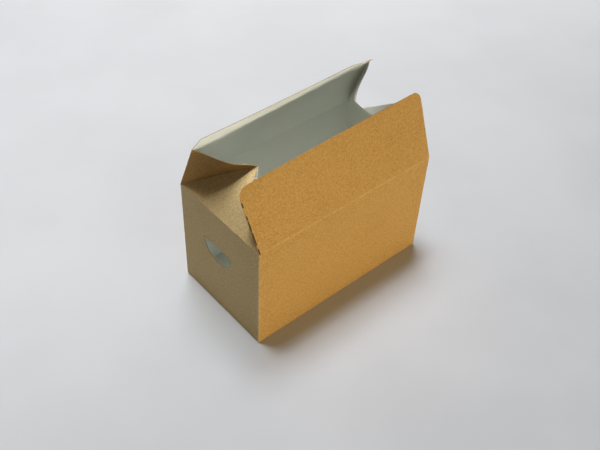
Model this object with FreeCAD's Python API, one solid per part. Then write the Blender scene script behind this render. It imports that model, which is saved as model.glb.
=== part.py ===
import FreeCAD, Part
import math
import os

# A folded board takeaway box: an open rectangular box, two long lids that lean inward over it,
# and at each end a triangular gusset whose two webs fold in under the lids.
# Millimetres. X runs along the length, Y across the depth with the front at -Y, Z up.
# The origin is the middle of the underside.

# Driving dimensions of the box
LENGTH = 207.0
DEPTH = 114.0
WALL_HEIGHT = 118.0
BOARD = 0.5
FOLD_RADIUS = 1.2

# Lids: reach is measured up the lid from its fold, lean is how far it has come in from upright
FRONT_LID_REACH = 64.5
BACK_LID_REACH = 72.5
LID_LEAN = 24.0
FRONT_CORNER_RADIUS = 9.0
BACK_CORNER_WIDTH = 7.0
BACK_CORNER_HEIGHT = 11.0

# Webs of the end gussets: length along the lid's end, and the dip in the free edge
WEB_SIDE = 57.5
WEB_DIP = 4.0
WEB_DIP_PLACE = 36.0

# Clearances at the folds that are left open, so that the boards pass each other. The slack is
# an angle: the gusset hangs that much lower and the web that much higher than their common fold.
FOLD_GAP = 0.15
FOLD_SLACK = 1.2
WEB_EDGE_GAP = 1.2
CORNER_RELIEF = 6.0
LID_END_GAP = 0.1

# Finger hole in each end wall: a half disc under a straight upper edge, a little nearer the back
HOLE_RADIUS = 20.0
HOLE_DROP = 40.0
HOLE_SHIFT = 3.5

# Bottom flaps, folded in over each other, and the glued lap at one corner
END_FLAP_LENGTH = 62.0
INNER_FLAP_DEPTH = 84.0
OUTER_FLAP_MARGIN = 4.0
FLAP_SIDE_GAP = 1.5
LAP_WIDTH = 16.0
LAP_MARGIN = 3.0

INNER_LENGTH = LENGTH - 2 * BOARD
INNER_DEPTH = DEPTH - 2 * BOARD
# The tip of a gusset lies half the depth from the fold, where its two 45 degree folds meet
GUSSET_REACH = INNER_DEPTH / 2
# Three 45 and 90 degree panels meet at each corner: the cosine of the gusset's lean is the
# tangent of 45 degrees less half the lid's lean
GUSSET_FOLD_LEAN = math.degrees(math.acos(math.tan(math.radians(45 - LID_LEAN / 2))))

V = FreeCAD.Vector
UP = V(0, 0, 1)


def sheet(points, outward):
    """A flat piece of board: the polygon is its inner face, and it is one board thick outward."""
    face = Part.Face(Part.makePolygon(points + points[:1]))
    return face.extrude(outward * BOARD)


def lean_frame(inward, lean):
    """The direction up a panel that leans inward by `lean`, and its outward normal."""
    angle = math.radians(lean)
    up = inward * math.sin(angle) + UP * math.cos(angle)
    outward = inward * -math.cos(angle) + UP * math.sin(angle)
    return up, outward


def box_block(length, depth, height, base, radius):
    """A rectangular block with its upright and lower edges rounded, standing at height `base`."""
    block = Part.makeBox(length, depth, height, V(-length / 2, -depth / 2, base))
    top = base + height
    edges = [e for e in block.Edges if min(v.Z for v in e.Vertexes) < top]
    return block.makeFillet(radius, edges)


def flap(x_size, y_size, x_start, y_start, level):
    """One bottom flap, lying `level` boards above the underside."""
    return Part.makeBox(x_size, y_size, BOARD, V(x_start, y_start, level * BOARD))


def finger_hole(side):
    """The half disc that is cut through an end wall, straight edge up."""
    top = WALL_HEIGHT - HOLE_DROP
    start = V(side * (LENGTH / 2 + BOARD), HOLE_SHIFT - HOLE_RADIUS, top)
    bottom = V(start.x, HOLE_SHIFT, top - HOLE_RADIUS)
    end = V(start.x, HOLE_SHIFT + HOLE_RADIUS, top)
    outline = Part.Wire([Part.Arc(start, bottom, end).toShape(), Part.makeLine(end, start)])
    return Part.Face(outline).extrude(V(-side * 3 * BOARD, 0, 0))


def bottom_flaps():
    """Two end flaps inside, then the front flap, then the back flap outside."""
    inner_x = -INNER_LENGTH / 2
    inner_y = -INNER_DEPTH / 2
    flaps = []
    for side in (-1, 1):
        x_start = inner_x if side < 0 else -inner_x - END_FLAP_LENGTH
        y_start = inner_y + FLAP_SIDE_GAP
        flaps.append(flap(END_FLAP_LENGTH, INNER_DEPTH - 2 * FLAP_SIDE_GAP, x_start, y_start, 2))
    x_start = inner_x + FLAP_SIDE_GAP
    x_size = INNER_LENGTH - 2 * FLAP_SIDE_GAP
    flaps.append(flap(x_size, INNER_FLAP_DEPTH, x_start, inner_y, 1))
    flaps.append(flap(x_size, INNER_DEPTH - OUTER_FLAP_MARGIN, x_start, inner_y + OUTER_FLAP_MARGIN, 0))
    return flaps


def glued_lap():
    """The lap that closes the sleeve, inside the front wall at its right corner."""
    foot = 3 * BOARD + LAP_MARGIN
    height = WALL_HEIGHT - LAP_MARGIN - foot
    return Part.makeBox(LAP_WIDTH, BOARD, height, V(INNER_LENGTH / 2 - LAP_WIDTH, -INNER_DEPTH / 2, foot))


def make_box():
    """Four walls with rounded folds, finger holes, the glued lap and the four bottom flaps."""
    outer = box_block(LENGTH, DEPTH, WALL_HEIGHT, 0, FOLD_RADIUS)
    hollow = box_block(INNER_LENGTH, INNER_DEPTH, 2 * WALL_HEIGHT, -WALL_HEIGHT / 2, FOLD_RADIUS - BOARD)
    walls = outer.cut(hollow)
    for side in (-1, 1):
        walls = walls.cut(finger_hole(side))
    return walls.fuse(bottom_flaps() + [glued_lap()]).removeSplitter()


def lid_outline(reach, corner):
    """Half outline of a lid as (x, height) from its fold to its upper corner, on the +X side."""
    end = INNER_LENGTH / 2 - LID_END_GAP
    return [(end, FOLD_GAP), (end, reach - corner[1]), (end - corner[0], reach)]


def make_lid(facing, reach, corner, rounded):
    """A lid hinged along the top of a long wall. `facing` is -1 for the front and 1 for the back."""
    up, outward = lean_frame(V(0, -facing, 0), LID_LEAN)
    hinge = V(0, facing * INNER_DEPTH / 2, WALL_HEIGHT)
    half = lid_outline(reach, corner)
    if not rounded:
        outline = half + [(-x, u) for x, u in reversed(half)]
        return sheet([hinge + V(x, 0, 0) + up * u for x, u in outline], outward)
    end = half[0][0]
    square = [(end, FOLD_GAP), (end, reach), (-end, reach), (-end, FOLD_GAP)]
    lid = sheet([hinge + V(x, 0, 0) + up * u for x, u in square], outward)
    level = (hinge + up * reach).dot(up)
    corners = [e for e in lid.Edges
               if e.Length < 2 * BOARD and abs(e.CenterOfMass.dot(up) - level) < BOARD]
    return lid.makeFillet(corner[0], corners)


def make_gusset(side):
    """The middle triangle of an end, hinged along the top of the end wall."""
    up, outward = lean_frame(V(-side, 0, 0), GUSSET_FOLD_LEAN + FOLD_SLACK)
    hinge = V(side * INNER_LENGTH / 2, 0, WALL_HEIGHT)
    half = INNER_DEPTH / 2 - CORNER_RELIEF
    outline = [(-half, FOLD_GAP), (half, FOLD_GAP), (half, CORNER_RELIEF), (0, GUSSET_REACH),
               (-half, CORNER_RELIEF)]
    return sheet([hinge + V(0, y, 0) + up * u for y, u in outline], outward)


def web_frame(side, facing):
    """Fold direction, in-plane direction and outward normal of the web at one corner."""
    up, outward = lean_frame(V(0, -facing, 0), LID_LEAN)
    spread = math.radians(90 - GUSSET_FOLD_LEAN - FOLD_SLACK)
    inward_x = V(-side, 0, 0)
    inner_normal = outward * -1
    across = inward_x * math.cos(spread) + inner_normal * math.sin(spread)
    web_out = inward_x * -math.sin(spread) + inner_normal * math.cos(spread)
    return up, across, web_out


def make_web(side, facing):
    """The web between a lid's end and the gusset, with a shallow dip in its free edge."""
    up, across, web_out = web_frame(side, facing)
    corner = V(side * INNER_LENGTH / 2, facing * INNER_DEPTH / 2, WALL_HEIGHT)
    # The 45 degree edge is cut back by the gap, measured square to it
    edge_shift = WEB_EDGE_GAP * math.sqrt(2)
    tip = GUSSET_REACH - edge_shift
    outline = [(0, CORNER_RELIEF + edge_shift), (0, WEB_SIDE),
               (WEB_DIP_PLACE, WEB_SIDE - WEB_DIP - edge_shift / 2), (tip, GUSSET_REACH),
               (CORNER_RELIEF, CORNER_RELIEF + edge_shift)]
    return sheet([corner + across * x + up * u for x, u in outline], web_out)


def build():
    """Every piece of the box by name."""
    front_corner = (FRONT_CORNER_RADIUS, FRONT_CORNER_RADIUS)
    back_corner = (BACK_CORNER_WIDTH, BACK_CORNER_HEIGHT)
    parts = {
        "box": make_box(),
        "front_lid": make_lid(-1, FRONT_LID_REACH, front_corner, True),
        "back_lid": make_lid(1, BACK_LID_REACH, back_corner, False),
    }
    for side, side_name in ((-1, "left"), (1, "right")):
        parts[side_name + "_gusset"] = make_gusset(side)
        for facing, facing_name in ((-1, "front"), (1, "back")):
            parts[facing_name + "_" + side_name + "_web"] = make_web(side, facing)
    return parts


os.makedirs("parts", exist_ok=True)
for name, shape in build().items():
    shape.exportStep("parts/" + name + ".step")
    box = shape.BoundBox
    print(name, "valid", shape.isValid(), "solids", len(shape.Solids), "volume %.1f" % shape.Volume,
          "x %.1f to %.1f y %.1f to %.1f z %.1f to %.1f"
          % (box.XMin, box.XMax, box.YMin, box.YMax, box.ZMin, box.ZMax))
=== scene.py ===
"""A folded kraft takeaway box: sleeve, two long lids, and a gusset with two webs at each end.

Metres and degrees. X runs along the length, Y across the depth with the front at -Y, Z up.
"""

import logging
from dataclasses import dataclass
from enum import Enum

import bpy
import numpy as np
from mathutils import Matrix


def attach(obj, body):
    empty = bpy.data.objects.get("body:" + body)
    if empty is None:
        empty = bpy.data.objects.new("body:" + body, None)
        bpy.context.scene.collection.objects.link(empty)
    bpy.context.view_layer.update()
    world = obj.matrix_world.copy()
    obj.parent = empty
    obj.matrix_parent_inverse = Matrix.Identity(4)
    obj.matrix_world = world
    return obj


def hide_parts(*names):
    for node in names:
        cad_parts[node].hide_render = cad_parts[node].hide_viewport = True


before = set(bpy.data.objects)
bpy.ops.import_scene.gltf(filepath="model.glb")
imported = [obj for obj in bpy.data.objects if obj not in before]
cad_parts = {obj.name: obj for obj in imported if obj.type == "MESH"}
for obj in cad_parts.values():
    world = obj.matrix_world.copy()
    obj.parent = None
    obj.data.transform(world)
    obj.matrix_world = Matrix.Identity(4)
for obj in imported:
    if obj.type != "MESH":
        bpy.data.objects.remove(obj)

log = logging.getLogger("takeaway_box")

Array = np.ndarray
Socket = bpy.types.NodeSocket
Colour = tuple[int, int, int]
Pair = tuple[float, float]
Triple = tuple[float, float, float]

MM = 0.001
WELD = MM * 0.001
FAR = 1.0


class End(Enum):
    """The two short ends of the box, with the sign of their X."""

    LEFT = -1
    RIGHT = 1


class Wall(Enum):
    """The two long walls of the box, with the sign of their Y."""

    FRONT = -1
    BACK = 1


@dataclass(frozen=True)
class Sizes:
    """The sizes that every piece of the box shares.

    Args:
        length: the box's outer length.
        depth: its outer depth.
        wall: the height of its walls, up to the lids' folds.
        board: the board's thickness.
        fold_radius: the outer radius of the walls' folds.
        top: the height that no lid passes.
        front_leans: the front lid's lean from upright at its left and its right end.
        back_leans: the back lid's.
        gusset_leans: the left and the right gusset's lean, as far as each has been pushed in.
    """

    length: float = 0.207
    depth: float = 0.114
    wall: float = 0.118
    board: float = 0.0005
    fold_radius: float = 0.0012
    top: float = 0.18443
    front_leans: Pair = (31.0, 21.2)
    back_leans: Pair = (22.5, 21.0)
    gusset_leans: Pair = (51.0, 43.5)

    @property
    def inner_length(self) -> float:
        """The clear length between the end walls."""
        return self.length - 2 * self.board

    @property
    def inner_depth(self) -> float:
        """The clear depth between the long walls."""
        return self.depth - 2 * self.board

    @property
    def gusset_reach(self) -> float:
        """How far a gusset reaches from its fold to its tip."""
        return self.inner_depth / 2

    def lean(self, wall: Wall, x: Array | float) -> Array:
        """A twisted lid's lean over x, on a straight run between the leans of its two ends."""
        left, right = self.front_leans if wall is Wall.FRONT else self.back_leans
        return left + (right - left) * (np.asarray(x) / self.inner_length + 0.5)

    def gusset_lean(self, end: End) -> float:
        """A gusset's lean from upright."""
        return self.gusset_leans[0 if end is End.LEFT else 1]


SIZES = Sizes()


def unit(vector: Array) -> Array:
    """The vector at length 1."""
    return vector / np.linalg.norm(vector)


def lean_frame(inward: Array, lean: Array | float) -> tuple[Array, Array]:
    """The direction up a panel that leans inward, and its outward normal.

    Args:
        inward: level unit vector from the panel's fold towards the middle of the box.
        lean: degrees from upright, one or an array of them.

    Returns:
        up, which is inward times the sine plus Z times the cosine, and outward, square to it.
    """
    angle = np.radians(np.asarray(lean))[..., None]
    rise = np.array([0.0, 0.0, 1.0])
    up = inward * np.sin(angle) + rise * np.cos(angle)
    outward = -inward * np.cos(angle) + rise * np.sin(angle)
    return up, outward


def smooth_step(value: Array) -> Array:
    """3t squared less 2t cubed, with t held from 0 to 1."""
    t = np.clip(value, 0, 1)
    return t * t * (3 - 2 * t)


def axes_matrix(right: Array, up: Array, back: Array, place: Array) -> Matrix:
    """An object's world matrix.

    Args:
        right: its X axis.
        up: its Y axis.
        back: its Z axis, which points away from what a lamp or the camera faces.
        place: where it is.

    Returns:
        The matrix, with the axes and the place as its columns.
    """
    whole = np.eye(4)
    whole[:3, 0], whole[:3, 1], whole[:3, 2], whole[:3, 3] = right, up, back, place
    return Matrix(whole.tolist())


def put(name: str, data: bpy.types.ID, place: Matrix | None = None) -> bpy.types.Object:
    """A new object in the scene.

    Args:
        name: its name.
        data: the mesh, lamp or camera that it holds.
        place: its world matrix, where it isn't at the origin.

    Returns:
        The object.
    """
    thing = bpy.data.objects.new(name, data)
    if place is not None:
        thing.matrix_world = place
    bpy.context.scene.collection.objects.link(thing)
    return thing


@dataclass
class Surface:
    """One face of a board, before it has a thickness.

    Args:
        points: vertices, one row each.
        quads: four vertex numbers a row.
        crease: each vertex's distance from the nearest fold.
        rim: each vertex's distance from the nearest cut edge.
        nick: each vertex's distance from a fold that is nicked through, where there is one.
    """

    points: Array
    quads: Array
    crease: Array
    rim: Array
    nick: Array | None = None

    @staticmethod
    def quads_of(rows: int, columns: int, closed: bool = False) -> Array:
        """The quads of a grid whose vertices are numbered along the rows.

        Args:
            rows: rows of vertices.
            columns: vertices in a row.
            closed: whether the last column joins the first.

        Returns:
            One quad for each cell, as rows of vertex numbers.
        """
        across = np.arange(columns if closed else columns - 1)
        down = np.arange(rows - 1)[:, None] * columns
        beside = (across + 1) % columns
        cells = [down + across, down + beside, down + columns + beside, down + columns + across]
        return np.stack(cells, axis=-1).reshape(-1, 4)

    @classmethod
    def grid(cls, points: Array, crease: Array, rim: Array, closed: bool = False) -> "Surface":
        """A surface from a grid of points.

        Args:
            points: rows by columns by 3.
            crease: distance from a fold, rows by columns.
            rim: distance from a cut edge, rows by columns.
            closed: whether the columns run all the way round.

        Returns:
            The surface.
        """
        rows, columns = points.shape[:2]
        quads = cls.quads_of(rows, columns, closed)
        return cls(points.reshape(-1, 3), quads, crease.ravel(), rim.ravel())

    def joined(self, other: "Surface") -> "Surface":
        """Both surfaces as one.

        Args:
            other: the surface whose vertices and quads come after these.

        Returns:
            A new surface.
        """
        return Surface(
            np.concatenate([self.points, other.points]),
            np.concatenate([self.quads, other.quads + len(self.points)]),
            np.concatenate([self.crease, other.crease]),
            np.concatenate([self.rim, other.rim]),
        )

    def facing(self, outward: Array) -> "Surface":
        """The surface with its quads turned so that they face outward.

        Args:
            outward: one direction, or one for each quad.

        Returns:
            The surface itself.
        """
        corner = self.points[self.quads]
        normal = np.cross(corner[:, 2] - corner[:, 0], corner[:, 3] - corner[:, 1])
        away = np.einsum("ij,ij->i", normal, np.broadcast_to(outward, normal.shape)) < 0
        self.quads[away] = self.quads[away][:, ::-1]
        return self


class Nodes:
    """A short way to put nodes into a tree and join them."""

    def __init__(self, tree: bpy.types.NodeTree) -> None:
        """Keeps the tree."""
        self.tree = tree

    def feed(self, node: bpy.types.Node, inputs: dict) -> None:
        """Joins sockets to a node's inputs, or sets their values.

        Args:
            node: the node to feed.
            inputs: sockets or values, by the input's name or number.
        """
        for key, value in inputs.items():
            if isinstance(value, Socket):
                self.tree.links.new(value, node.inputs[key])
            else:
                node.inputs[key].default_value = value

    def add(self, kind: str, inputs: dict | None = None, **settings: object) -> bpy.types.Node:
        """Adds a node.

        Args:
            kind: the node's type, without the ShaderNode in front.
            inputs: values, or sockets to join, by the input's name or number.
            settings: the node's own settings.

        Returns:
            The node.
        """
        node = self.tree.nodes.new("ShaderNode" + kind)
        for key, value in settings.items():
            setattr(node, key, value)
        self.feed(node, inputs or {})
        return node

    def group(self, tree: bpy.types.NodeTree, inputs: dict) -> bpy.types.NodeOutputs:
        """The outputs of a node group that is placed here with its own inputs."""
        return self.add("Group", inputs, node_tree=tree).outputs

    def place(self) -> Socket:
        """Where a point lies on its object."""
        return self.add("TexCoord").outputs["Object"]

    def distance(self, label: str) -> Socket:
        """A distance that the mesh keeps under this name."""
        return self.add("Attribute", attribute_name=label).outputs["Fac"]

    def noise(self, place: Socket, scale: float, detail: float) -> Socket:
        """A cloudy value of a place, by its scale a metre and its octaves of detail."""
        return self.add("TexNoise", {"Vector": place, "Scale": scale, "Detail": detail}).outputs[0]

    def bump(self, height: Socket, strength: float, distance: float) -> Socket:
        """A normal that stands out by a height times a distance, at this strength."""
        inputs = {"Strength": strength, "Distance": distance, "Height": height}
        return self.add("Bump", inputs).outputs[0]

    def math(self, operation: str, first: object, second: object = 0.0) -> Socket:
        """A sum of two values or sockets, by its operation's name."""
        return self.add("Math", {0: first, 1: second}, operation=operation).outputs[0]

    def mix(self, share: Socket, first: object, second: object) -> Socket:
        """Two colours mixed, with this share of the second."""
        return self.add("Mix", {0: share, 6: first, 7: second}, data_type="RGBA").outputs[2]

    def band(self, value: Socket, low: float, high: float,
             to_low: float = 0.0, to_high: float = 1.0) -> Socket:
        """A smooth step of a value.

        Args:
            value: the socket to read.
            low: where the step starts.
            high: where it ends.
            to_low: what it gives before the start.
            to_high: what it gives after the end.

        Returns:
            The step's socket.
        """
        inputs = {0: value, 1: low, 2: high, 3: to_low, 4: to_high}
        return self.add("MapRange", inputs, interpolation_type="SMOOTHSTEP").outputs[0]


def linear(colour: Colour) -> tuple[float, float, float, float]:
    """A screen colour as the linear colour that nodes hold, by the screen's own curve.

    Args:
        colour: red, green and blue, from 0 to 255.

    Returns:
        Red, green, blue and a full alpha.
    """
    parts = np.array(colour) / 255
    low = parts / 12.92
    high = ((parts + 0.055) / 1.055) ** 2.4
    return (*(float(x) for x in np.where(parts <= 0.04045, low, high)), 1.0)


def new_group(name: str, inputs: dict[str, str], outputs: dict[str, str]) -> bpy.types.NodeTree:
    """An empty shader node group.

    Args:
        name: the group's name.
        inputs: the kind of each input socket, by its name.
        outputs: the kind of each output socket, by its name.

    Returns:
        The group's tree.
    """
    tree = bpy.data.node_groups.new(name, "ShaderNodeTree")
    for direction, sockets in (("INPUT", inputs), ("OUTPUT", outputs)):
        for label, kind in sockets.items():
            tree.interface.new_socket(label, in_out=direction, socket_type="NodeSocket" + kind)
    return tree


@dataclass(frozen=True)
class Grain:
    """Kraft grain: cloudy tone, mottle, fibres along X, and dark flecks.

    Args:
        cloud: scale of the cloudy tone.
        mottle: scale of the mottle.
        fine: scale of the fine pale mottle.
        fibre: scales of the fibres along and across the board.
        fleck: scale of the flecks.
        thinning: scale of the noise that leaves most flecks out.
        dark_shares: how much dark the mottle, the cloudy tone and the fibres give.
        pale_shares: how much pale the mottle and the fine mottle give.
        fleck_share: how dark the flecks are.
    """

    cloud: float = 26.0
    mottle: float = 620.0
    fine: float = 1900.0
    fibre: Triple = (240.0, 1500.0, 1500.0)
    fleck: float = 210.0
    thinning: float = 330.0
    dark_shares: Triple = (0.58, 0.16, 0.48)
    pale_shares: Pair = (0.45, 0.62)
    fleck_share: float = 0.8

    def group(self) -> bpy.types.NodeTree:
        """The grain as a node group, which mixes three tones of the board.

        Dark comes in where a noise is under one half, pale where it is over one half, and a
        fleck where a cell's middle is near. The height is half mottle and half fibre.

        Returns:
            The group.
        """
        tones = {"Base": "Color", "Dark": "Color", "Pale": "Color"}
        tree = new_group("kraft_grain", tones, {"Color": "Color", "Height": "Float"})
        nodes = Nodes(tree)
        inlet = tree.nodes.new("NodeGroupInput").outputs
        place = nodes.place()
        cloud = nodes.noise(place, self.cloud, 2.0)
        mottle = nodes.noise(place, self.mottle, 3.0)
        fine = nodes.noise(place, self.fine, 2.0)
        drawn = nodes.add("Mapping", {"Vector": place, "Scale": self.fibre}).outputs[0]
        fibre = nodes.noise(drawn, 1.0, 3.0)
        fleck = nodes.add("TexVoronoi", {"Vector": place, "Scale": self.fleck}).outputs["Distance"]
        thinning = nodes.noise(place, self.thinning, 1.0)
        by_mottle, by_cloud, by_fibre = self.dark_shares
        dark = nodes.math("ADD", nodes.band(mottle, 0.50, 0.34, 0.0, by_mottle),
                          nodes.band(cloud, 0.5, 0.3, 0.0, by_cloud))
        dark = nodes.math("ADD", dark, nodes.band(fibre, 0.45, 0.30, 0.0, by_fibre))
        by_mottle, by_fine = self.pale_shares
        pale = nodes.math("ADD", nodes.band(mottle, 0.50, 0.66, 0.0, by_mottle),
                          nodes.band(fine, 0.50, 0.66, 0.0, by_fine))
        kept = nodes.band(thinning, 0.56, 0.66)
        specks = nodes.math("MULTIPLY", nodes.band(fleck, 0.20, 0.06), kept)
        tone = nodes.mix(nodes.math("MINIMUM", dark, 1.0), inlet["Base"], inlet["Dark"])
        tone = nodes.mix(nodes.math("MINIMUM", pale, 1.0), tone, inlet["Pale"])
        tone = nodes.mix(nodes.math("MULTIPLY", specks, self.fleck_share), tone, inlet["Dark"])
        height = nodes.math("ADD", nodes.math("MULTIPLY", mottle, 0.5),
                            nodes.math("MULTIPLY", fibre, 0.5))
        nodes.feed(tree.nodes.new("NodeGroupOutput"), {"Color": tone, "Height": height})
        return tree


@dataclass(frozen=True)
class Wear:
    """Wear along folds and cut edges. Each pair is where the mark begins and where it is full.

    Args:
        rub: distances from a fold for the rubbed line.
        crack: distances from a fold for the cracks in it.
        fray: distances from a cut edge for its fraying.
        nick: distances from the nicked fold for the nicks, whose dark tone partly paints in the
            shadow in their gaps.
        burst: distances, along X, from the place where the front fold has burst.
        burst_place: the X of that place.
        uneven: scale of the noise that breaks the marks up.
        patch: scale of the noise that says which stretches of a fold are cracked.
        dash: scale of the noise that spaces the nicks.
    """

    rub: Pair = (1.7 * MM, 0.2 * MM)
    crack: Pair = (1.5 * MM, 0.5 * MM)
    fray: Pair = (1.1 * MM, 0.1 * MM)
    nick: Pair = (1.4 * MM, 0.8 * MM)
    burst: Pair = (17 * MM, 9 * MM)
    burst_place: float = -3 * MM
    uneven: float = 190.0
    patch: float = 34.0
    dash: float = 170.0

    def group(self) -> bpy.types.NodeTree:
        """The wear as a node group, from the distances that the mesh keeps.

        Each mark is a smooth step of its distance, times a step of a noise. A crack needs either
        a cracked stretch or the burst place as well.

        Returns:
            The group, which takes the strength of the rubs, cracks and fraying and gives masks.
        """
        strengths = {"Rubbed": "Float", "Cracked": "Float", "Frayed": "Float"}
        masks = {"Fold": "Float", "Crack": "Float", "Edge": "Float", "Nick": "Float"}
        tree = new_group("fold_wear", strengths, masks)
        nodes = Nodes(tree)
        inlet = tree.nodes.new("NodeGroupInput").outputs
        place = nodes.place()
        crease, rim, nicked = (nodes.distance(label) for label in ("crease", "rim", "nick"))
        uneven = nodes.noise(place, self.uneven, 4.0)
        patch = nodes.noise(place, self.patch, 1.0)
        dash = nodes.noise(place, self.dash, 1.0)
        fold = nodes.math("MULTIPLY", nodes.band(crease, *self.rub),
                          nodes.band(uneven, 0.34, 0.64, 0.15, 1.0))
        crack = nodes.math("MULTIPLY", nodes.band(crease, *self.crack),
                           nodes.band(uneven, 0.57, 0.64))
        x = nodes.add("SeparateXYZ", {0: place}).outputs["X"]
        beside = nodes.math("ABSOLUTE", nodes.math("SUBTRACT", x, self.burst_place))
        where = nodes.math("MAXIMUM", nodes.band(patch, 0.52, 0.60), nodes.band(beside, *self.burst))
        crack = nodes.math("MULTIPLY", crack, where)
        edge = nodes.math("MULTIPLY", nodes.band(rim, *self.fray), uneven)
        # The nick mask is partly painted shadow: a dark dashed line along the lid's nicked end that
        # stands in for the shade in the gaps there.
        nick = nodes.math("MULTIPLY", nodes.band(nicked, *self.nick),
                          nodes.band(dash, 0.42, 0.48, 0.1, 1.0))
        nodes.feed(tree.nodes.new("NodeGroupOutput"), {
            "Fold": nodes.math("MULTIPLY", fold, inlet["Rubbed"]),
            "Crack": nodes.math("MULTIPLY", crack, inlet["Cracked"]),
            "Edge": nodes.math("MULTIPLY", edge, inlet["Frayed"]),
            "Nick": nick,
        })
        return tree


GRAIN = Grain().group()
WEAR = Wear().group()


@dataclass(frozen=True)
class Finish:
    """A finish, whose material is made once.

    Args:
        name: the material's name.
    """

    name: str

    def look(self, nodes: Nodes) -> dict[str, object]:
        """What feeds the shader, by its inputs' names."""
        raise NotImplementedError

    def material(self) -> bpy.types.Material:
        """The material, made at the first call.

        Returns:
            The material.
        """
        known = bpy.data.materials.get(self.name)
        if known is not None:
            return known
        material = bpy.data.materials.new(self.name)
        material.use_nodes = True
        nodes = Nodes(material.node_tree)
        nodes.feed(material.node_tree.nodes["Principled BSDF"], self.look(nodes))
        return material


@dataclass(frozen=True)
class Kraft(Finish):
    """Unbleached kraft board's outer face.

    Args:
        name: the material's name.
        base: its middle tone.
        dark: the tone of its dark flecks and fibres.
        pale: the tone of its pale mottle.
        worn: the tone where folds are rubbed.
        cracked: the tone of cracks and frayed edges.
        nicked: the dark tone of the nicks, partly painted shadow of the gaps in them.
        crack_depth: how deep a crack is, against the grain's height.
    """

    base: Colour
    dark: Colour
    pale: Colour
    worn: Colour
    cracked: Colour = (96, 62, 30)
    # Dark tone of the nicks, partly painted shadow of the gaps in them.
    nicked: Colour = (62, 42, 20)
    crack_depth: float = 1.6

    def look(self, nodes: Nodes) -> dict[str, object]:
        """The grain's tones, with the wear mixed in and the cracks let into the grain.

        Args:
            nodes: the material's nodes.

        Returns:
            What feeds the shader, by its inputs' names.
        """
        tones = {"Base": linear(self.base), "Dark": linear(self.dark), "Pale": linear(self.pale)}
        grain = nodes.group(GRAIN, tones)
        wear = nodes.group(WEAR, {"Rubbed": 0.55, "Cracked": 0.75, "Frayed": 0.35})
        tone = nodes.mix(wear["Fold"], grain["Color"], linear(self.worn))
        marks = nodes.math("ADD", wear["Crack"], wear["Edge"])
        tone = nodes.mix(nodes.math("MINIMUM", marks, 1.0), tone, linear(self.cracked))
        # The nicks are toned dark, partly painting in the shadow in their gaps.
        tone = nodes.mix(wear["Nick"], tone, linear(self.nicked))
        depth = nodes.math("MULTIPLY", wear["Crack"], self.crack_depth)
        height = nodes.math("SUBTRACT", grain["Height"], depth)
        return {
            "Base Color": tone,
            "Normal": nodes.bump(height, 0.25, 0.12 * MM),
            "Roughness": nodes.band(grain["Height"], 0.3, 0.7, 0.72, 0.86),
            "Specular IOR Level": 0.25,
        }


@dataclass(frozen=True)
class Coating(Finish):
    """The smooth pale film on the inside of the board.

    Args:
        name: the material's name.
        base: its main tone.
        cool: the tone of its cooler clouds.
        worn: the tone where folds are rubbed.
    """

    name: str = "inner_coating"
    base: Colour = (242, 244, 236)
    cool: Colour = (236, 241, 235)
    worn: Colour = (228, 228, 218)

    def look(self, nodes: Nodes) -> dict[str, object]:
        """Two close tones in clouds, rubbed at the folds, over slow ripples and fine scuffs.

        Args:
            nodes: the material's nodes.

        Returns:
            What feeds the shader, by its inputs' names.
        """
        place = nodes.place()
        cloud = nodes.noise(place, 14.0, 3.0)
        ripple = nodes.noise(place, 95.0, 3.0)
        scuff = nodes.noise(place, 900.0, 2.0)
        wear = nodes.group(WEAR, {"Rubbed": 0.4})
        tone = nodes.mix(nodes.band(cloud, 0.35, 0.65), linear(self.base), linear(self.cool))
        height = nodes.math("ADD", nodes.math("MULTIPLY", ripple, 0.8),
                            nodes.math("MULTIPLY", scuff, 0.05))
        return {
            "Base Color": nodes.mix(wear["Fold"], tone, linear(self.worn)),
            "Normal": nodes.bump(height, 0.25, 0.3 * MM),
            "Roughness": nodes.band(scuff, 0.3, 0.7, 0.34, 0.5),
            "Specular IOR Level": 0.5,
        }


@dataclass(frozen=True)
class CutEdge(Finish):
    """The cut edge of the board: pale fibre in fine layers.

    Args:
        name: the material's name.
        base: its pale tone.
        dark: its dark tone.
    """

    name: str = "cut_edge"
    base: Colour = (196, 168, 122)
    dark: Colour = (140, 108, 68)

    def look(self, nodes: Nodes) -> dict[str, object]:
        """One fine noise gives the tone, the height and the roughness.

        Args:
            nodes: the material's nodes.

        Returns:
            What feeds the shader, by its inputs' names.
        """
        fibre = nodes.noise(nodes.place(), 1400.0, 3.0)
        share = nodes.band(fibre, 0.35, 0.65)
        return {
            "Base Color": nodes.mix(share, linear(self.dark), linear(self.base)),
            "Normal": nodes.bump(fibre, 0.5, 0.1 * MM),
            "Roughness": nodes.band(fibre, 0.3, 0.7, 0.8, 0.92),
            "Specular IOR Level": 0.2,
        }


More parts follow.
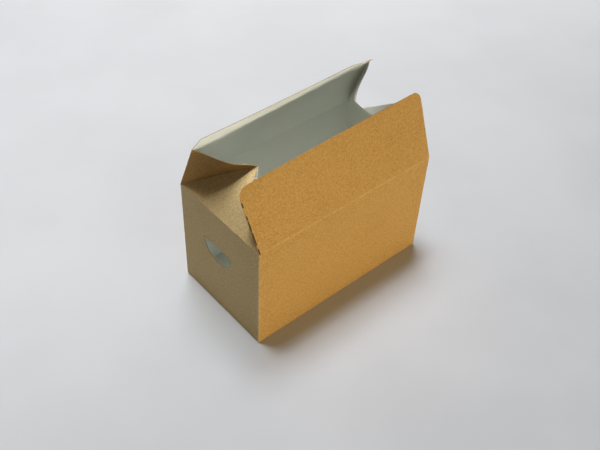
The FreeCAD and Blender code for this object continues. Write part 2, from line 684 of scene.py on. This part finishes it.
@dataclass(frozen=True)
class PaleFloor(Finish):
    """The studio's floor, with painted light that makes it grow paler to the back, under a faint
    cloudy tone.

    Args:
        name: the material's name.
        near: its tone at the front.
        rear: its tone at the back.
        start: the Y where it starts to grow paler.
        stop: the Y where it is as pale as it gets.
        cloud_share: how much of the change is cloud.
    """

    name: str = "pale_floor"
    near: Colour = (192, 197, 205)
    rear: Colour = (238, 244, 253)
    start: float = -0.42
    stop: float = 0.50
    cloud_share: float = 0.12

    def look(self, nodes: Nodes) -> dict[str, object]:
        """Two tones mixed by a smooth step of Y, which paints in the light falling off towards the
        front, and a little by a noise.

        Args:
            nodes: the material's nodes.

        Returns:
            What feeds the shader, by its inputs' names.
        """
        place = nodes.place()
        cloud = nodes.band(nodes.noise(place, 5.0, 4.0), 0.35, 0.65)
        back = nodes.add("SeparateXYZ", {0: place}).outputs["Y"]
        # Painted light: the step of Y darkens the floor towards the front and pales it towards the
        # back.
        slope = nodes.band(back, self.start, self.stop)
        share = nodes.math("ADD", nodes.math("MULTIPLY", slope, 1 - self.cloud_share),
                           nodes.math("MULTIPLY", cloud, self.cloud_share))
        return {
            "Base Color": nodes.mix(share, linear(self.near), linear(self.rear)),
            "Roughness": 0.9,
            "Specular IOR Level": 0.15,
        }


# Painted light: one kraft board in two copies. The long walls and lids take a more orange copy that
# paints in the warm light on the front. The end walls, gussets and bottom flaps take a greyer copy
# for the cooler light on the ends.
GOLDEN = Kraft("kraft_golden", (188, 142, 71), (163, 117, 51), (205, 161, 90), (214, 173, 108))
DUN = Kraft("kraft_dun", (191, 168, 120), (165, 141, 93), (208, 187, 142), (205, 186, 143))
# Painted shade: a darker, more saturated copy of the end walls' kraft for the webs. It stands in for
# the shade they hang in, though they are the same board.
SHADED = Kraft("kraft_web", (146, 111, 55), (118, 83, 34), (167, 134, 76), (156, 122, 66))
COATING = Coating()
CUT_EDGE = CutEdge()


@dataclass
class Board:
    """A piece of board: kraft outside, coated inside, with a cut edge all round.

    Args:
        name: the piece's name.
        surface: its outer face, with its quads facing out.
        kraft: the finish of the outer face.
    """

    name: str
    surface: Surface
    kraft: Kraft

    def mesh(self) -> bpy.types.Mesh:
        """The outer face with its joins welded, and its distances kept as attributes.

        The edges that only one quad has are marked sharp, so that the shading stops there.

        Returns:
            The mesh, with the materials of the board's outside, inside and edge.
        """
        mesh = bpy.data.meshes.new(self.name)
        surface = self.surface
        keys = np.round(surface.points / WELD).astype(np.int64)
        _, first, number = np.unique(keys, axis=0, return_index=True, return_inverse=True)
        quads = number.ravel()[surface.quads]
        mesh.from_pydata(surface.points[first], [], quads)
        mesh.polygons.foreach_set("use_smooth", np.ones(len(quads), bool))
        nick = np.full(len(surface.rim), FAR) if surface.nick is None else surface.nick
        for label, values in (("crease", surface.crease), ("rim", surface.rim), ("nick", nick)):
            layer = mesh.attributes.new(label, "FLOAT", "POINT")
            layer.data.foreach_set("value", values[first].astype(np.float32))
        for finish in (self.kraft, COATING, CUT_EDGE):
            mesh.materials.append(finish.material())
        mesh.update()
        edge_of = np.empty(len(mesh.loops), np.int32)
        mesh.loops.foreach_get("edge_index", edge_of)
        outer = np.bincount(edge_of, minlength=len(mesh.edges)) == 1
        mesh.attributes.new("sharp_edge", "BOOLEAN", "EDGE").data.foreach_set("value", outer)
        return mesh

    def build(self) -> bpy.types.Object:
        """Makes the piece and gives it a board's thickness inward.

        Returns:
            The piece.
        """
        piece = put(self.name, self.mesh())
        solid = piece.modifiers.new("thickness", "SOLIDIFY")
        solid.thickness = SIZES.board
        solid.offset = -1
        solid.use_even_offset = True
        solid.material_offset = 1
        solid.material_offset_rim = 2
        log.info("%s: %d quads", self.name, len(self.surface.quads))
        return piece


@dataclass
class Sleeve:
    """The four walls with their finger holes, the bottom flaps and the glued lap.

    Args:
        hole_radius: radius of a finger hole, a half disc under a straight edge.
        hole_drop: how far that edge is below the lids' folds.
        hole_shift: how far the hole is behind the middle of its wall.
        hole_core: how far below that edge the wall's rays start, as a share of the radius.
        hole_rings: rings of vertices from the hole to the wall's folds.
        hole_draw: the power of their spacing, which draws them to the hole.
        long_bow: how far the long walls bend in.
        end_bow: how far the end walls do.
        end_facing: a quad is on an end wall if its normal's X is more than this.
        end_flap: length of the two end flaps of the bottom.
        inner_flap: depth of the front flap of the bottom.
        outer_margin: how far the back flap of the bottom stops short of the front wall.
        side_gap: the gap beside each bottom flap.
        lap_width: width of the glued lap.
        lap_margin: how far it stops short of the fold above it and the flaps below it.
        lap_gap: how far it starts from the end wall.
        long_cells: cells along a long wall.
        end_cells: cells along an end wall.
        corner_cells: cells round a corner.
        wall_rows: rows of cells down the walls.
        foot_rows: rows of cells round the bottom fold.
        flap_grid: columns and rows of vertices on a bottom flap.
        lap_grid: columns and rows of vertices on the lap.
    """

    hole_radius: float = 0.020
    hole_drop: float = 0.040
    hole_shift: float = 0.0035
    hole_core: float = 0.4
    hole_rings: int = 15
    hole_draw: float = 1.5
    long_bow: float = 0.0009
    end_bow: float = 0.0006
    end_facing: float = 0.7
    end_flap: float = 0.062
    inner_flap: float = 0.084
    outer_margin: float = 0.004
    side_gap: float = 0.0015
    lap_width: float = 0.016
    lap_margin: float = 0.003
    lap_gap: float = 0.0008
    long_cells: int = 60
    end_cells: int = 36
    corner_cells: int = 5
    wall_rows: int = 36
    foot_rows: int = 5
    flap_grid: tuple[int, int] = (25, 17)
    lap_grid: tuple[int, int] = (9, 25)

    def ring(self) -> tuple[Array, Array, Array]:
        """The walls' outline seen from above.

        Returns:
            The core rectangle's points, one fold radius inside the walls, the outward
            directions there, and for each point the number of the stretch it is on: 0 front,
            2 right, 4 back, 6 left, and odd numbers for the rounded corners between.
        """
        half = np.array([SIZES.length, SIZES.depth]) / 2 - SIZES.fold_radius
        corners = half * np.array([[-1, -1], [1, -1], [1, 1], [-1, 1]])
        core, normal, stretch = [], [], []
        for side in range(4):
            start, stop = corners[side], corners[(side + 1) % 4]
            cells = self.long_cells if side % 2 == 0 else self.end_cells
            share = np.linspace(0, 1, cells + 1)[:, None]
            core.append(start + (stop - start) * share)
            facing = np.radians(90.0 * side - 90)
            normal.append(np.tile([np.cos(facing), np.sin(facing)], (cells + 1, 1)))
            stretch.append(np.full(cells + 1, 2 * side))
            turn = facing + np.linspace(0, np.pi / 2, self.corner_cells + 1)[1:-1]
            core.append(np.tile(stop, (len(turn), 1)))
            normal.append(np.stack([np.cos(turn), np.sin(turn)], axis=1))
            stretch.append(np.full(len(turn), 2 * side + 1))
        return np.concatenate(core), np.concatenate(normal), np.concatenate(stretch)

    def rows(self) -> tuple[Array, Array]:
        """The walls' profile from the top down: straight, then a quarter circle at the foot.

        Returns:
            How far out each row lies from the core rectangle, and its height.
        """
        radius = SIZES.fold_radius
        heights = np.linspace(SIZES.wall, radius, self.wall_rows + 1)
        turn = np.linspace(0, np.pi / 2, self.foot_rows + 1)[1:]
        reach = np.concatenate([np.full(len(heights), radius), radius * np.cos(turn)])
        return reach, np.concatenate([heights, radius - radius * np.sin(turn)])

    def hole_outline(self, away: Array) -> Array:
        """Points of the finger hole's outline, met by rays from a point inside it.

        A ray meets either the straight edge, where its rise is the point's depth below that
        edge, or the arc, where the distance solves the circle's quadratic.

        Args:
            away: unit directions of the rays, as (y, z).

        Returns:
            The outline's points as (y, z), with the two nearest to its corners put on them.
        """
        top = SIZES.wall - self.hole_drop
        inset = self.hole_core * self.hole_radius
        rise = away[:, 1]
        least = 1e-9
        straight = np.where(rise > least, inset / np.maximum(rise, least), np.inf)
        middle = -inset * rise
        arc = -middle + np.sqrt(middle**2 + self.hole_radius**2 - inset**2)
        reach = np.minimum(straight, arc)[:, None]
        points = np.array([self.hole_shift, top - inset]) + away * reach
        for corner in (-self.hole_radius, self.hole_radius):
            spot = np.array([self.hole_shift + corner, top])
            points[np.argmin(np.linalg.norm(points - spot, axis=1))] = spot
        return points

    def end_wall(self, end: End) -> Surface:
        """One end wall, as rings from its finger hole out to its folds.

        A point is the share t of the way from the hole's outline to the wall's outline on one ray.

        Args:
            end: which end it is.

        Returns:
            The wall's outer face.
        """
        half = SIZES.depth / 2 - SIZES.fold_radius
        across = np.linspace(-half, half, self.end_cells + 1)
        heights = self.rows()[1][: self.wall_rows + 1][::-1]
        bottom = np.stack([across, np.full_like(across, heights[0])], axis=1)
        top = np.stack([across[::-1], np.full_like(across, heights[-1])], axis=1)
        right = np.stack([np.full_like(heights, half), heights], axis=1)
        left = np.stack([np.full_like(heights, -half), heights[::-1]], axis=1)
        outline = np.concatenate([bottom[:-1], right[:-1], top[:-1], left[:-1]])
        drop = self.hole_drop + self.hole_core * self.hole_radius
        away = outline - np.array([self.hole_shift, SIZES.wall - drop])
        hole = self.hole_outline(away / np.linalg.norm(away, axis=1)[:, None])
        share = (np.linspace(0, 1, self.hole_rings) ** self.hole_draw)[:, None, None]
        flat = hole + (outline - hole) * share
        points = np.empty((*flat.shape[:2], 3))
        points[..., 0] = end.value * SIZES.length / 2
        points[..., 1:] = flat
        rim = np.linalg.norm(flat - hole, axis=-1)
        surface = Surface.grid(points, self.wall_crease(points), rim, closed=True)
        return surface.facing(np.array([end.value, 0.0, 0.0]))

    @staticmethod
    def wall_crease(points: Array) -> Array:
        """Distance to the nearest fold of the walls: top, bottom or upright corner.

        Args:
            points: places on the walls, with x, y and z last.

        Returns:
            The distances.
        """
        upright = np.hypot(SIZES.length / 2 - np.abs(points[..., 0]),
                           SIZES.depth / 2 - np.abs(points[..., 1]))
        level = np.minimum(SIZES.wall - points[..., 2], np.abs(points[..., 2]))
        return np.minimum(upright, level)

    def walls(self) -> Surface:
        """The four walls, bowed slightly inward between their folds.

        The profile is carried round the outline as a tube. Its flat ends are left out, and the
        end walls with their finger holes take their place.

        Returns:
            The walls' outer face.
        """
        core, normal, stretch = self.ring()
        reach, heights = self.rows()
        points = np.empty((len(heights), len(core), 3))
        points[..., :2] = core + normal * reach[:, None, None]
        points[..., 2] = heights[:, None]
        far = np.full(points.shape[:2], FAR)
        tube = Surface.grid(points, self.wall_crease(points), far, closed=True)
        row, column = np.divmod(np.arange(len(tube.quads)), len(core))
        on_end = (stretch == 2) | (stretch == 6)
        next_on_end = np.roll(on_end, -1)
        hidden = (row < self.wall_rows) & on_end[column] & next_on_end[column]
        tube.quads = tube.quads[~hidden]
        middle = tube.points[tube.quads].mean(axis=1)
        outward = middle - np.array([0, 0, SIZES.wall / 2])
        outward[:, :2] /= np.array([SIZES.length, SIZES.depth])
        tube.facing(outward)
        for end in End:
            tube = tube.joined(self.end_wall(end))
        self.bow(tube.points)
        return tube

    def bow(self, points: Array) -> None:
        """Moves the walls' points inward.

        The bend is a parabola between the upright folds times a sine of the height, so that
        every fold stays straight.

        Args:
            points: the walls' vertices, which are changed.
        """
        x, y, z = points.T
        swell = np.sin(np.pi * np.clip(z / SIZES.wall, 0, 1))
        half_x, half_y = SIZES.length / 2, SIZES.depth / 2
        on_long = np.abs(y) > half_y - SIZES.fold_radius
        on_end = np.abs(x) > half_x - SIZES.fold_radius
        along = np.clip(1 - (x / (half_x - SIZES.fold_radius)) ** 2, 0, 1)
        across = np.clip(1 - (y / (half_y - SIZES.fold_radius)) ** 2, 0, 1)
        points[:, 1] -= np.sign(y) * on_long * self.long_bow * along * swell
        points[:, 0] -= np.sign(x) * on_end * self.end_bow * across * swell

    def plate(self, low: Pair, high: Pair, level: float) -> Surface:
        """A flap lying on the bottom, its kraft side down.

        Args:
            low: its lowest x and y.
            high: its highest x and y.
            level: the height of its lower face.

        Returns:
            The flap's lower face, a plain grid.
        """
        columns, rows = self.flap_grid
        x, y = np.meshgrid(np.linspace(low[0], high[0], columns),
                           np.linspace(low[1], high[1], rows))
        points = np.stack([x, y, np.full_like(x, level)], axis=-1)
        rim = np.minimum(np.minimum(x - low[0], high[0] - x), np.minimum(y - low[1], high[1] - y))
        surface = Surface.grid(points, np.full_like(x, FAR), rim)
        return surface.facing(np.array([0, 0, -1.0]))

    def dress_ends(self, mesh: bpy.types.Mesh) -> None:
        """Gives the end walls the greyer copy of the kraft, which paints in the cooler light on
        them, in three materials after the long walls' three.

        Args:
            mesh: the walls' mesh.
        """
        first_of_ends = len(mesh.materials)
        for finish in (DUN, COATING, CUT_EDGE):
            mesh.materials.append(finish.material())
        normals = np.empty(len(mesh.polygons) * 3)
        mesh.polygons.foreach_get("normal", normals)
        ends = np.abs(normals.reshape(-1, 3)[:, 0]) > self.end_facing
        indices = np.where(ends, first_of_ends, 0).astype(np.int32)
        mesh.polygons.foreach_set("material_index", indices)

    def flaps(self) -> dict[str, Surface]:
        """The bottom flaps: the two end flaps lie on the front one, and that on the back one.

        Returns:
            Their lower faces, by the pieces' names.
        """
        x, y = SIZES.inner_length / 2, SIZES.inner_depth / 2
        gap, end, board = self.side_gap, self.end_flap, SIZES.board
        inner, outer = self.inner_flap - y, self.outer_margin - y
        return {
            "bottom_outer_flap": self.plate((gap - x, outer), (x - gap, y), 0 * board),
            "bottom_inner_flap": self.plate((gap - x, -y), (x - gap, inner), 1 * board),
            "bottom_left_flap": self.plate((-x, gap - y), (end - x, y - gap), 2 * board),
            "bottom_right_flap": self.plate((x - end, gap - y), (x, y - gap), 2 * board),
        }

    def build(self) -> None:
        """Makes the walls, the four bottom flaps and the glued lap."""
        walls = Board("sleeve_walls", self.walls(), GOLDEN).build()
        self.dress_ends(walls.data)
        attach(walls, "box")
        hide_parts("box")
        for name, face in self.flaps().items():
            flap = Board(name, face, DUN).build()
            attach(flap, "box")
        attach(self.lap(), "box")

    def lap(self) -> bpy.types.Object:
        """The glued lap inside the front wall, at its right corner, bent as that wall is.

        Returns:
            The piece.
        """
        columns, rows = self.lap_grid
        foot = 3 * SIZES.board + self.lap_margin
        stop = SIZES.inner_length / 2
        x, z = np.meshgrid(np.linspace(stop - self.lap_width, stop - self.lap_gap, columns),
                           np.linspace(foot, SIZES.wall - self.lap_margin, rows))
        points = np.stack([x, np.full_like(x, -SIZES.inner_depth / 2), z], axis=-1)
        surface = Surface.grid(points, np.full_like(x, FAR), x - x[0, 0])
        along = np.clip(1 - (x / (SIZES.length / 2)) ** 2, 0, 1)
        swell = np.sin(np.pi * z / SIZES.wall)
        surface.points[:, 1] += (self.long_bow * along * swell).ravel()
        return Board("glued_lap", surface.facing(np.array([0, -1.0, 0])), GOLDEN).build()


@dataclass
class Corner:
    """One end of a lid.

    Args:
        reach: how far the lid reaches up from its fold at this end.
        width: how far its corner is cut in along the top edge.
        height: how far the corner is cut down along the end.
        web: how far up the end the web is joined to it.
    """

    reach: float
    width: float
    height: float
    web: float


@dataclass
class Lid:
    """A long lid, hinged along the top of a long wall.

    Args:
        wall: which wall it is on.
        left: its left end.
        right: its right end.
        rounded: whether its corners are round, or else straight cuts.
        curl: how far its upper right corner curls outward, or inward where it is negative.
        curl_place: the x where the curl starts, and how far it takes to be full.
        curl_height: the share of the lid's reach where it starts, and how much it takes.
        sag: how far its middle bends inward.
        end_gap: the gap between its end and the end wall's inner face.
        foot: how far its lower edge is tucked into the fold, as a share of its reach.
        even_share: the share of its reach up to which the rows are evenly spaced.
        even_rows: the rows of vertices up to there.
        corner_rows: the rows above, which crowd together at the top edge.
        columns: how many cells it has along its length.
    """

    wall: Wall
    left: Corner
    right: Corner
    rounded: bool
    curl: float = 0.0
    curl_place: Pair = (0.074, 0.026)
    curl_height: Pair = (0.90, 0.10)
    sag: float = 0.0008
    end_gap: float = 0.1 * MM
    foot: float = 0.005
    even_share: float = 0.78
    even_rows: int = 20
    corner_rows: int = 14
    columns: int = 72

    def end_place(self, corner: Corner, share_up: Array) -> Array:
        """How far one end lies from the middle at a share of the reach.

        It is half the lid's length below the corner; above, the corner's width comes off it, by a
        quarter circle where the corner is rounded and by a straight cut where it isn't.

        Args:
            corner: the end.
            share_up: shares of the reach.

        Returns:
            The distances.
        """
        end = SIZES.inner_length / 2 - self.end_gap
        above = np.clip(1 - (1 - share_up) * corner.reach / corner.height, 0, 1)
        cut = 1 - np.sqrt(1 - above**2) if self.rounded else above
        return end - corner.width * cut

    def shares_up(self) -> Array:
        """The rows' shares of the reach: even ones, then the sines of even angles.

        Returns:
            One share for each row, from just below the fold to the top edge.
        """
        turn = np.sin(np.linspace(0, np.pi / 2, self.corner_rows + 1)[1:])
        even = np.linspace(-self.foot, self.even_share, self.even_rows)
        return np.concatenate([even, self.even_share + (1 - self.even_share) * turn])[:, None]

    def surface(self) -> Surface:
        """The outer face: rows up the lid, each as long as the lid is there, on a twisted plane.

        A point is x along the fold, plus its height times the direction up the lid over that x,
        plus the bend times the outward normal. The bend is a shallow parabola inward along the
        lid, and the curl of the upper right corner, a product of two smooth steps.

        Returns:
            The outer face.
        """
        side = self.wall.value
        hinge = np.array([0.0, side * SIZES.inner_depth / 2, SIZES.wall])
        share_up = self.shares_up()
        share = np.linspace(0, 1, self.columns + 1)
        low, high = -self.end_place(self.left, share_up), self.end_place(self.right, share_up)
        x = low + (high - low) * share
        across = x / SIZES.inner_length + 0.5
        tall = share_up * (self.left.reach + (self.right.reach - self.left.reach) * across)
        up, outward = lean_frame(np.array([0.0, -side, 0.0]), SIZES.lean(self.wall, x))
        (place, over), (rise, rest) = self.curl_place, self.curl_height
        curl = smooth_step((x - place) / over) * smooth_step((share_up - rise) / rest)
        bend = self.curl * curl - self.sag * 4 * share * (1 - share) * smooth_step(share_up)
        points = (hinge + x[..., None] * np.array([1.0, 0, 0]) + tall[..., None] * up
                  + (SIZES.board + bend)[..., None] * outward)
        points[..., 1] = np.clip(points[..., 1], -SIZES.depth / 2, SIZES.depth / 2)
        points[..., 2] = np.minimum(points[..., 2], SIZES.top)
        inset = np.minimum(x - low, high - x)
        by_web = tall < self.left.web + (self.right.web - self.left.web) * across
        crease = np.minimum(np.abs(tall), np.where(by_web, inset, FAR))
        rim = np.minimum((1 - share_up) * self.left.reach, np.where(by_web, FAR, inset))
        surface = Surface.grid(points, crease, rim).facing(outward[0, 0])
        surface.nick = np.where(by_web, x - low, FAR).ravel()
        return surface

    def build(self) -> None:
        """Makes the lid in place of its CAD node."""
        name = self.wall.name.lower() + "_lid"
        piece = Board(name + "_board", self.surface(), GOLDEN).build()
        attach(piece, name)
        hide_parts(name)


@dataclass
class Gusset:
    """The middle triangle of an end, hinged along the top of its end wall.

    Args:
        end: which end it is.
        bow: how far its middle bends in.
        tip_gap: how far its last row stops short of the tip.
        rows: rows of vertices.
        columns: vertices in a row.
    """

    end: End
    bow: float = 0.0006
    tip_gap: float = 0.2 * MM
    rows: int = 31
    columns: int = 33

    def surface(self) -> Surface:
        """The outer face: rows up the triangle, each half as long as what is left to its tip.

        The bend is a parabola along a row times a sine of the height.

        Returns:
            The outer face.
        """
        side = self.end.value
        reach = SIZES.gusset_reach
        up, outward = lean_frame(np.array([-side, 0.0, 0.0]), SIZES.gusset_lean(self.end))
        hinge = np.array([side * SIZES.inner_length / 2, 0.0, SIZES.wall])
        tall = np.linspace(0, reach - self.tip_gap, self.rows)[:, None]
        share = np.linspace(-1, 1, self.columns)
        y = (reach - tall) * share
        tall = np.broadcast_to(tall, y.shape)
        bend = -self.bow * (1 - share**2) * np.sin(np.pi * tall / reach)
        points = (hinge + y[..., None] * np.array([0, 1.0, 0]) + tall[..., None] * up
                  + (SIZES.board + bend)[..., None] * outward)
        slant = (reach - tall - np.abs(y)) * np.sqrt(0.5)
        return Surface.grid(points, np.minimum(tall, slant), np.full_like(y, FAR)).facing(outward)

    def build(self) -> None:
        """Makes the gusset in place of its CAD node."""
        name = self.end.name.lower() + "_gusset"
        piece = Board(name + "_board", self.surface(), DUN).build()
        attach(piece, name)
        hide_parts(name)


@dataclass
class Web:
    """The web between a lid's end and the gusset, creased along a ray from the corner.

    Args:
        end: the end of the box it is at.
        wall: the wall whose lid it hangs from.
        kink: how far the crease stands out on the kraft side, or in where it is negative.
        kink_turn: the crease's angle from the gusset's fold, where 45 degrees is the lid's end.
        side_length: how far it reaches up the lid's end.
        tuck: how far its edge at the lid is drawn in and down under it, as a share of its length.
        start: where its rays start, as a share of their length.
        rays: how many rays it has.
        steps: vertices on a ray.
    """

    end: End
    wall: Wall
    kink: float
    kink_turn: float = 15.0
    side_length: float = 0.0590
    tuck: float = 0.0
    start: float = 0.01
    rays: int = 28
    steps: int = 28

    def surface(self) -> Surface:
        """The outer face, in rays from the corner.

        A ray's direction turns evenly from the gusset's fold to the lid's end, as the sine of the
        share left times the one plus the sine of the share gone times the other. On the flat
        board it meets the free edge, a straight line, at its side length over the sine of the
        ray's angle less the line's slope times the cosine. The crease lifts the ray by the kink
        times a smooth step of its share of the turn, and its share of the reach.

        Returns:
            The outer face.
        """
        side, facing = self.end.value, self.wall.value
        place = side * SIZES.inner_length / 2
        inward = np.array([-side, 0.0, 0.0])
        up, outward = lean_frame(np.array([0.0, -facing, 0.0]), SIZES.lean(self.wall, place))
        up = unit(up + self.tuck * (inward - outward))
        gusset_up, _ = lean_frame(inward, SIZES.gusset_lean(self.end))
        corner = np.array([place, facing * SIZES.inner_depth / 2, SIZES.wall])
        tip = np.array([place, 0.0, SIZES.wall]) + gusset_up * SIZES.gusset_reach
        fold = unit(tip - corner)
        apart = np.arccos(fold @ up)
        share = np.linspace(0, 1, self.rays)[:, None]
        way = (np.sin((1 - share) * apart) * fold + np.sin(share * apart) * up) / np.sin(apart)
        web_out = unit(np.cross(fold, up))
        web_out *= np.sign(web_out[0] * side)
        angle = 45 * share[:, 0]
        turn = np.radians(45 + angle)
        slope = (SIZES.gusset_reach - self.side_length) / SIZES.gusset_reach
        edge = self.side_length / (np.sin(turn) - slope * np.cos(turn))
        out = np.linspace(self.start, 1, self.steps)[:, None]
        reach = out * edge
        lift = np.minimum(angle / self.kink_turn, (45 - angle) / (45 - self.kink_turn))
        bulge = self.kink * smooth_step(lift) * out
        points = corner + reach[..., None] * way + (SIZES.board + bulge)[..., None] * web_out
        over, tall = reach * np.cos(turn), reach * np.sin(turn)
        crease = np.minimum(over, (tall - over) * np.sqrt(0.5))
        return Surface.grid(points, crease, edge - reach).facing(web_out)

    def build(self) -> None:
        """Makes the web in place of its CAD node."""
        name = f"{self.wall.name.lower()}_{self.end.name.lower()}_web"
        # The webs take the darker kraft copy, which paints in the shade they lie in.
        piece = Board(name + "_board", self.surface(), SHADED).build()
        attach(piece, name)
        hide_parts(name)


@dataclass(frozen=True)
class Sun:
    """A soft distant lamp.

    Args:
        name: its name.
        source: the direction it shines from.
        level: the share of a plain white surface's tone that it gives, facing it.
        spread: its width in degrees.
        tint: its colour.
    """

    name: str
    source: Triple
    level: float
    spread: float
    tint: Triple = (0.99, 0.99, 0.99)

    def build(self) -> None:
        """Makes the lamp. Where it stands doesn't matter, only the way it faces."""
        lamp = bpy.data.lights.new(self.name, "SUN")
        lamp.energy = self.level * np.pi
        lamp.angle = np.radians(self.spread)
        lamp.color = self.tint
        back = unit(np.array(self.source))
        right = unit(np.cross([0.0, 1.0, 0.01], back))
        put(self.name, lamp, axes_matrix(right, np.cross(back, right), back, back))


@dataclass(frozen=True)
class Panel:
    """A soft upright panel lamp beyond the floor's edge that faces the box.

    Args:
        name: its name.
        place: its middle.
        size: its width and height.
        level: the share of a plain white surface's tone that it gives the front wall.
        tint: its colour.
    """

    name: str = "front_panel"
    place: Triple = (0.36, -3.6, 0.216)
    size: Pair = (1.8, 0.324)
    level: float = 0.64
    tint: Triple = (1.0, 0.93, 0.77)

    def build(self) -> None:
        """Makes the lamp, whose power grows as the square of its distance from the wall."""
        lamp = bpy.data.lights.new(self.name, "AREA")
        lamp.shape = "RECTANGLE"
        lamp.size, lamp.size_y = self.size
        lamp.color = self.tint
        x, y, _ = self.place
        away = np.hypot(x, y) - SIZES.depth / 2
        lamp.energy = self.level * (np.pi * away) ** 2
        back = unit(np.array([x, y, 0.0]))
        right = np.array([-back[1], back[0], 0.0])
        up = np.array([0.0, 0.0, 1.0])
        holder = put(self.name, lamp, axes_matrix(right, up, back, np.array(self.place)))
        holder.visible_camera = False


@dataclass(frozen=True)
class MouthLamp:
    """A narrow-beamed lamp straight above the box that shines down between the lids.

    Args:
        name: its name.
        size: its width and depth.
        height: how high it hangs.
        spread: the width of its beam in degrees.
        level: the share of a plain white surface's tone that it gives the bottom.
        tint: its colour.
    """

    name: str = "mouth_lamp"
    size: Pair = (0.16, 0.03)
    height: float = 0.40
    spread: float = 8.0
    level: float = 0.9
    tint: Triple = (0.98, 1.0, 0.97)

    def build(self) -> None:
        """Makes the lamp, whose power is spread over its own area."""
        lamp = bpy.data.lights.new(self.name, "AREA")
        lamp.shape = "RECTANGLE"
        lamp.size, lamp.size_y = self.size
        lamp.spread = np.radians(self.spread)
        lamp.color = self.tint
        lamp.energy = self.level * np.pi * lamp.size * lamp.size_y
        holder = put(self.name, lamp, Matrix.Translation((0.0, 0.0, self.height)))
        holder.visible_camera = False


@dataclass
class Studio:
    """The pale floor, the soft light and the camera.

    Args:
        azimuth: the camera's turn from the front, in degrees.
        elevation: its height above level, in degrees.
        roll: its tilt to one side, in degrees.
        distance: how far it is from its target.
        focal_pixels: its focal length in pixels of the photograph.
        picture_width: the photograph's width in pixels.
        target: what it looks at.
        floor_half: half the floor's side.
        floor_gap: how far the floor lies under the box.
        sky_levels: the sky's strength near the horizon and straight up.
        sky_tint: the colour that the sky gives.
        backdrop: the colour that the camera sees there.
    """

    azimuth: float = -42.74
    elevation: float = 44.39
    roll: float = 3.05
    distance: float = 0.83514
    focal_pixels: float = 839.4
    picture_width: int = 600
    target: Triple = (0.00075, 0.0079, 0.040)
    floor_half: float = 2.0
    floor_gap: float = 0.1 * MM
    sky_levels: Pair = (0.04, 0.18)
    sky_tint: Triple = (1.0, 0.73, 0.38)
    backdrop: Triple = (0.86, 0.87, 0.88)

    def floor(self) -> None:
        """A wide pale floor just under the box."""
        mesh = bpy.data.meshes.new("floor")
        turns = ((-1, -1), (1, -1), (1, 1), (-1, 1))
        corners = [(x * self.floor_half, y * self.floor_half, -self.floor_gap) for x, y in turns]
        mesh.from_pydata(corners, [], [(0, 1, 2, 3)])
        floor = put("floor", mesh)
        mesh.materials.append(PaleFloor().material())

    def lights(self) -> None:
        """Three overhead lamps a little behind the box, a low panel in front, and a mouth lamp."""
        Sun("overhead_right", (0.21, 0.35, 1.0), 0.37, 20.0).build()
        Sun("overhead_left", (-0.12, 0.35, 1.0), 0.20, 20.0).build()
        Sun("overhead_core", (-0.05, 0.18, 1.0), 0.25, 9.0).build()
        Panel().build()
        MouthLamp().build()

    def sky(self) -> None:
        """A warm sky that grows brighter from near the horizon up, by a smooth step of the rise.

        The camera sees a plain pale backdrop in its place.
        """
        world = bpy.data.worlds.new("studio")
        bpy.context.scene.world = world
        world.use_nodes = True
        nodes = Nodes(world.node_tree)
        seen = nodes.add("LightPath").outputs["Is Camera Ray"]
        way = nodes.add("TexCoord").outputs["Generated"]
        rise = nodes.add("SeparateXYZ", {0: way}).outputs["Z"]
        strength = nodes.band(rise, 0.2, 1.0, *self.sky_levels)
        nodes.feed(world.node_tree.nodes["Background"], {
            "Color": nodes.mix(seen, (*self.sky_tint, 1.0), (*self.backdrop, 1.0)),
            "Strength": nodes.add("Mix", {0: seen, 2: strength, 3: 1.0}).outputs[0],
        })

    def camera(self) -> None:
        """The camera at the photograph's angle, turned by its slight roll."""
        turn, lift, roll = np.radians([self.azimuth, self.elevation, self.roll])
        back = np.array([np.sin(turn) * np.cos(lift), -np.cos(turn) * np.cos(lift), np.sin(lift)])
        level = np.array([np.cos(turn), np.sin(turn), 0.0])
        rise = np.cross(back, level)
        right = level * np.cos(roll) + rise * np.sin(roll)
        up = rise * np.cos(roll) - level * np.sin(roll)
        lens = bpy.data.cameras.new("camera")
        lens.sensor_width = 36.0
        lens.sensor_fit = "HORIZONTAL"
        lens.lens = self.focal_pixels * lens.sensor_width / self.picture_width
        lens.clip_start = 0.01
        place = np.array(self.target) + back * self.distance
        bpy.context.scene.camera = put("camera", lens, axes_matrix(right, up, back, place))

    def build(self) -> None:
        """Makes the floor, the lights, the sky and the camera."""
        self.floor()
        self.lights()
        self.sky()
        self.camera()
        bpy.context.scene.view_settings.view_transform = "Standard"


def main() -> None:
    """Builds the pieces in order."""
    logging.basicConfig(level=logging.INFO, format="%(message)s")
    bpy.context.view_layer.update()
    Sleeve().build()
    front_left = Corner(reach=0.0586, width=0.009, height=0.011, web=0.0480)
    front_right = Corner(reach=0.0673, width=0.0072, height=0.0100, web=0.059)
    back_left = Corner(reach=0.0693, width=0.0065, height=0.0115, web=0.058)
    back_right = Corner(reach=0.0709, width=0.0015, height=0.004, web=0.064)
    Lid(Wall.FRONT, front_left, front_right, rounded=True).build()
    Lid(Wall.BACK, back_left, back_right, rounded=False, curl=-0.0036).build()
    for end in End:
        Gusset(end).build()
    Web(End.LEFT, Wall.FRONT, kink=-0.0020, side_length=0.0480, tuck=0.024).build()
    Web(End.LEFT, Wall.BACK, kink=0.0042, side_length=0.0578).build()
    Web(End.RIGHT, Wall.FRONT, kink=0.0005).build()
    Web(End.RIGHT, Wall.BACK, kink=-0.0080, kink_turn=3.5, side_length=0.064).build()
    Studio().build()


if __name__ == "__main__":
    main()
